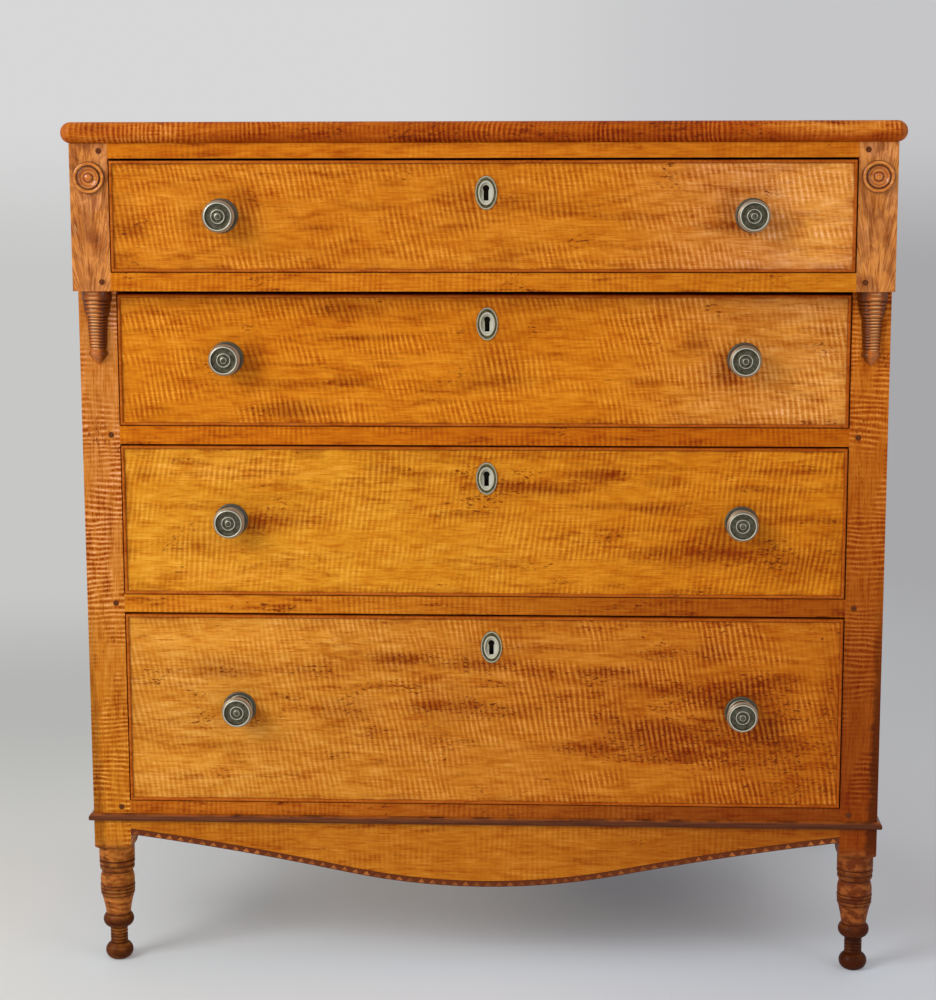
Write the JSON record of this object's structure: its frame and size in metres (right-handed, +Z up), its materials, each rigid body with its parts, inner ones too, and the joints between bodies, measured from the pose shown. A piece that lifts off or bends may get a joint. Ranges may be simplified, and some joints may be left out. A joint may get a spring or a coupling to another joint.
{
  "type": "chest of drawers",
  "caption": "Tall maple chest of graduated drawers: forward upper stage on corner blocks and split pendants, turned legs, shaped apron, ringed knobs, oval escutcheons, sliding lock bolts.",
  "frame": {"origin": "on the floor, at the middle of the chest's width and of its depth from the knobs to the back", "axes": "+X to the right as seen from the front, -Y to the front, +Z up"},
  "size_m": [1.041, 0.639, 1.1],
  "materials": {
    "maple_case": "shellac, satin",
    "maple_drawer": "shellac, satin",
    "crotch_block": "shellac, satin",
    "dark_turning": "shellac, gloss",
    "stringing": "shellac, satin",
    "bead_wood": "shellac, satin",
    "pine": "unfinished",
    "old_brass": "patinated",
    "plate_brass": "worn",
    "lock_iron": "oxidised"
  },
  "bodies": {
    "case": {"top_board": "maple_case", "front_left_post": "maple_case", "front_right_post": "maple_case", "rear_left_post": "maple_case", "rear_right_post": "maple_case", "corner_blocks": "crotch_block", "roundels": "dark_turning", "pendants": "dark_turning", "top_rail": "maple_case", "upper_divider": "maple_case", "middle_divider": "maple_case", "lower_divider": "maple_case", "bottom_rail": "maple_case", "apron": "maple_case", "apron_banding": "stringing", "base_bead": "bead_wood", "end_rails": "maple_case", "end_panels": "maple_case", "back_rails": "pine", "back_boards": "pine", "drawer_runners": "pine", "drawer_guides": "pine", "drawer_stops": "pine", "joint_pegs": "maple_case"},
    "drawer_1": {"drawer_1_front": "maple_drawer", "drawer_1_cock_beads": "bead_wood", "drawer_1_sides": "pine", "drawer_1_back": "pine", "drawer_1_bottom": "pine", "drawer_1_knobs": "old_brass", "drawer_1_escutcheon": "plate_brass", "drawer_1_lock": "lock_iron"},
    "bolt_1": {"drawer_1_bolt": "lock_iron"},
    "drawer_2": {"drawer_2_front": "maple_drawer", "drawer_2_cock_beads": "bead_wood", "drawer_2_sides": "pine", "drawer_2_back": "pine", "drawer_2_bottom": "pine", "drawer_2_knobs": "old_brass", "drawer_2_escutcheon": "plate_brass", "drawer_2_lock": "lock_iron"},
    "bolt_2": {"drawer_2_bolt": "lock_iron"},
    "drawer_3": {"drawer_3_front": "maple_drawer", "drawer_3_cock_beads": "bead_wood", "drawer_3_sides": "pine", "drawer_3_back": "pine", "drawer_3_bottom": "pine", "drawer_3_knobs": "old_brass", "drawer_3_escutcheon": "plate_brass", "drawer_3_lock": "lock_iron"},
    "bolt_3": {"drawer_3_bolt": "lock_iron"},
    "drawer_4": {"drawer_4_front": "maple_drawer", "drawer_4_cock_beads": "bead_wood", "drawer_4_sides": "pine", "drawer_4_back": "pine", "drawer_4_bottom": "pine", "drawer_4_knobs": "old_brass", "drawer_4_escutcheon": "plate_brass", "drawer_4_lock": "lock_iron"},
    "bolt_4": {"drawer_4_bolt": "lock_iron"}
  },
  "joints": [
    {"name": "drawer_1_slide", "type": "slide", "parent": "case", "child": "drawer_1", "axis": [0, -1, 0], "range_m": [0, 0.4]},
    {"name": "bolt_1_slide", "type": "slide", "parent": "drawer_1", "child": "bolt_1", "axis": [0, 0, 1], "range_m": [0, 0.01]},
    {"name": "drawer_2_slide", "type": "slide", "parent": "case", "child": "drawer_2", "axis": [0, -1, 0], "range_m": [0, 0.4]},
    {"name": "bolt_2_slide", "type": "slide", "parent": "drawer_2", "child": "bolt_2", "axis": [0, 0, 1], "range_m": [0, 0.01]},
    {"name": "drawer_3_slide", "type": "slide", "parent": "case", "child": "drawer_3", "axis": [0, -1, 0], "range_m": [0, 0.4]},
    {"name": "bolt_3_slide", "type": "slide", "parent": "drawer_3", "child": "bolt_3", "axis": [0, 0, 1], "range_m": [0, 0.01]},
    {"name": "drawer_4_slide", "type": "slide", "parent": "case", "child": "drawer_4", "axis": [0, -1, 0], "range_m": [0, 0.4]},
    {"name": "bolt_4_slide", "type": "slide", "parent": "drawer_4", "child": "bolt_4", "axis": [0, 0, 1], "range_m": [0, 0.01]}
  ]
}
